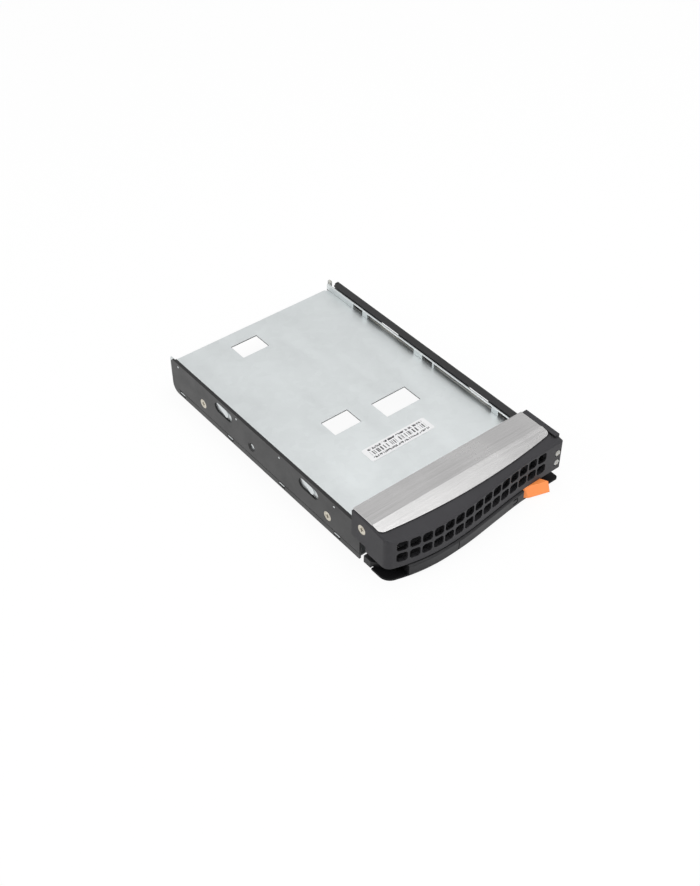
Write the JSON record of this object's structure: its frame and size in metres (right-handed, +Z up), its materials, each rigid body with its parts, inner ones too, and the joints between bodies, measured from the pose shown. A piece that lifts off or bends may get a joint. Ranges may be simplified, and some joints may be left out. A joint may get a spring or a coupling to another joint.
{
  "type": "hot swap drive caddy",
  "caption": "Hot swap tray for a large drive bay that carries a smaller drive under a folded plate, with vented bezel, swing handle and sliding release.",
  "frame": {"origin": "middle of the footprint on the bottom plane of the rails", "axes": "+Z up, +Y towards the connector end, -Y the handle end, +X to the right seen from the handle end"},
  "size_m": [0.1084, 0.1819, 0.0278],
  "materials": {
    "galvanised_sheet": "zinc-coated sheet, faint spangle",
    "rail_paint": "black satin powder coat",
    "bezel_plastic": "dark grey satin moulding",
    "cover_steel": "stainless steel brushed along its length",
    "base_plastic": "black moulding",
    "lever_plastic": "dark grey satin moulding",
    "latch_orange": "orange satin moulding",
    "spring_steel": "bright spring steel",
    "light_pipe": "clear acrylic rod",
    "clip_plastic": "black nylon",
    "screw_steel": "nickel-plated steel",
    "label_paper": "white matt label stock"
  },
  "bodies": {
    "tray": {"adapter_plate": "galvanised_sheet", "left_rail": "rail_paint", "right_rail": "rail_paint", "front_bezel": "bezel_plastic", "top_cover": "cover_steel", "handle_base": "base_plastic", "handle_pivot_pin": "spring_steel", "light_pipe_upper": "light_pipe", "light_pipe_lower": "light_pipe", "pipe_clip_front": "clip_plastic", "pipe_clip_middle": "clip_plastic", "pipe_clip_rear": "clip_plastic", "left_screw_front": "screw_steel", "left_screw_rear": "screw_steel", "left_ear_screw": "screw_steel", "right_screw_front": "screw_steel", "right_screw_rear": "screw_steel", "right_ear_screw": "screw_steel", "asset_label": "label_paper"},
    "handle": {"handle_lever": "lever_plastic", "handle_torsion_spring": "spring_steel", "latch_spring": "spring_steel"},
    "release": {"release_latch": "latch_orange"}
  },
  "joints": [
    {"name": "handle_swing", "type": "hinge", "parent": "tray", "child": "handle", "pos_m": [-0.04475, -0.079, 0.0049], "axis": [0, 0, -1], "range_deg": [0, 45], "stiffness_Nm_per_rad": 0.004, "springref_deg": 63.03, "deforming": ["handle_torsion_spring"]},
    {"name": "release_slide", "type": "slide", "parent": "handle", "child": "release", "axis": [1, 0, 0], "range_m": [0, 0.0025], "stiffness_N_per_m": 300, "springref_m": -0.002, "deforming": ["latch_spring"]}
  ]
}
